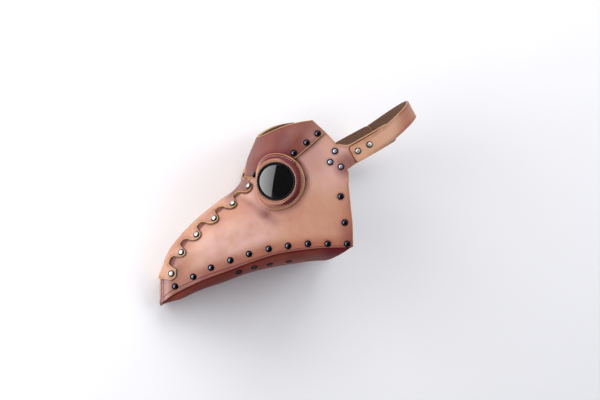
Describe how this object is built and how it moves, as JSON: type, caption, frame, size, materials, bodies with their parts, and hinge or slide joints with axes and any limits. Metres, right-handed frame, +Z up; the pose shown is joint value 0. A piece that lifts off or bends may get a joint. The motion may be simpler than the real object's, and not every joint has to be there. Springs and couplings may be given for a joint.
{
  "type": "plague doctor mask",
  "caption": "Leather plague doctor mask with a long drooping beak, round dark goggles, riveted seams and a strap round the head, lying on its side.",
  "frame": {"origin": "on the floor under the middle of the bounding box of the mask lying on its right side", "axes": "+X from the beak's tip to the back of the head strap, +Y from the chin to the brow, +Z up, from the mask's right side to its left side"},
  "size_m": [0.3388, 0.2638, 0.1783],
  "materials": {
    "tan_leather": "satin, antiqued darker at seams and edges",
    "brown_leather": "satin, dark red brown",
    "black_rim": "gloss",
    "dark_lens": "gloss, nearly opaque",
    "bright_rivet": "polished nickel",
    "dark_rivet": "polished gunmetal"
  },
  "bodies": {
    "root": {"side_panel_left": "tan_leather", "side_panel_right": "tan_leather", "forehead_panel": "tan_leather", "ridge_strip": "tan_leather", "bottom_panel": "brown_leather", "goggle_ring_left": "tan_leather", "goggle_ring_right": "tan_leather", "lens_rim_left": "black_rim", "lens_rim_right": "black_rim", "lens_left": "dark_lens", "lens_right": "dark_lens", "head_strap": "tan_leather", "rivet_ridge_left_1": "bright_rivet", "rivet_ridge_right_1": "bright_rivet", "rivet_ridge_left_2": "bright_rivet", "rivet_ridge_right_2": "bright_rivet", "rivet_ridge_left_3": "bright_rivet", "rivet_ridge_right_3": "bright_rivet", "rivet_ridge_left_4": "bright_rivet", "rivet_ridge_right_4": "bright_rivet", "rivet_ridge_left_5": "bright_rivet", "rivet_ridge_right_5": "bright_rivet", "rivet_ridge_left_6": "bright_rivet", "rivet_ridge_right_6": "bright_rivet", "rivet_lower_left_1": "dark_rivet", "rivet_lower_right_1": "dark_rivet", "rivet_lower_left_2": "dark_rivet", "rivet_lower_right_2": "dark_rivet", "rivet_lower_left_3": "dark_rivet", "rivet_lower_right_3": "dark_rivet", "rivet_lower_left_4": "dark_rivet", "rivet_lower_right_4": "dark_rivet", "rivet_lower_left_5": "dark_rivet", "rivet_lower_right_5": "dark_rivet", "rivet_lower_left_6": "dark_rivet", "rivet_lower_right_6": "dark_rivet", "rivet_lower_left_7": "dark_rivet", "rivet_lower_right_7": "dark_rivet", "rivet_lower_left_8": "dark_rivet", "rivet_lower_right_8": "dark_rivet", "rivet_lower_left_9": "dark_rivet", "rivet_lower_right_9": "dark_rivet", "rivet_lower_left_10": "dark_rivet", "rivet_lower_right_10": "dark_rivet", "rivet_brow_left_1": "dark_rivet", "rivet_brow_right_1": "dark_rivet", "rivet_brow_left_2": "dark_rivet", "rivet_brow_right_2": "dark_rivet", "rivet_brow_left_3": "dark_rivet", "rivet_brow_right_3": "dark_rivet", "rivet_tab_left_1": "dark_rivet", "rivet_tab_right_1": "dark_rivet", "rivet_tab_left_2": "dark_rivet", "rivet_tab_right_2": "dark_rivet", "rivet_tab_left_3": "dark_rivet", "rivet_tab_right_3": "dark_rivet", "rivet_strap_left_1": "bright_rivet", "rivet_strap_right_1": "bright_rivet", "rivet_strap_left_2": "bright_rivet", "rivet_strap_right_2": "bright_rivet"}
  },
  "joints": []
}
